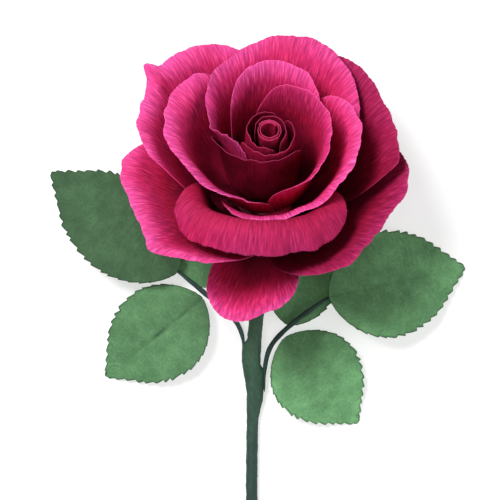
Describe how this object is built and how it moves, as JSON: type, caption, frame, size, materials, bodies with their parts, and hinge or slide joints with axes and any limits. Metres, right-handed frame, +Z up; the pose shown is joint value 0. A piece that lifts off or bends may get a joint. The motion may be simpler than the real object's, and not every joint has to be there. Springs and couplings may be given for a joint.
{
  "type": "crepe paper rose",
  "caption": "Hand-made crepe paper rose with rolled and curled petals, green calyx, taped wire stem and serrated paper leaves, lying on its side.",
  "frame": {"origin": "middle of the rose's outline on the surface that it lies on", "axes": "+Z up from the surface, +Y along the stem from its cut end towards the flower, +X across the leaves"},
  "size_m": [0.1495, 0.3106, 0.0729],
  "materials": {
    "petal_paper": "matte crepe paper, fine ridges, faint satin sheen",
    "leaf_paper": "matte mottled green paper",
    "stem_tape": "matte wound paper tape",
    "wire_tape": "thin paper-covered wire, matte",
    "bare_wire": "bright drawn wire"
  },
  "bodies": {
    "root": {"bud_core": "petal_paper", "bud_petal_1": "petal_paper", "bud_petal_2": "petal_paper", "bud_petal_3": "petal_paper", "cup_petal_front": "petal_paper", "cup_petal_right": "petal_paper", "cup_petal_back": "petal_paper", "middle_petal_left": "petal_paper", "middle_petal_right": "petal_paper", "middle_petal_top": "petal_paper", "outer_petal_top_left": "petal_paper", "outer_petal_front": "petal_paper", "outer_petal_right": "petal_paper", "lower_petal_left": "petal_paper", "lower_petal_right": "petal_paper", "lower_petal_back": "petal_paper", "lowest_petal_front": "petal_paper", "lowest_petal_left": "petal_paper", "lowest_petal_right": "petal_paper", "petal_binding": "petal_paper", "calyx": "leaf_paper", "stem_wire": "bare_wire", "stem_wrap": "stem_tape", "leaflet_left_end": "leaf_paper", "leaflet_left_lower": "leaf_paper", "leaflet_left_upper": "leaf_paper", "leaflet_right_end": "leaf_paper", "leaflet_right_lower": "leaf_paper", "leaflet_right_upper": "leaf_paper", "leaf_wire_left_end": "wire_tape", "leaf_wire_left_lower": "wire_tape", "leaf_wire_left_upper": "wire_tape", "leaf_wire_right_end": "wire_tape", "leaf_wire_right_lower": "wire_tape", "leaf_wire_right_upper": "wire_tape"}
  },
  "joints": []
}
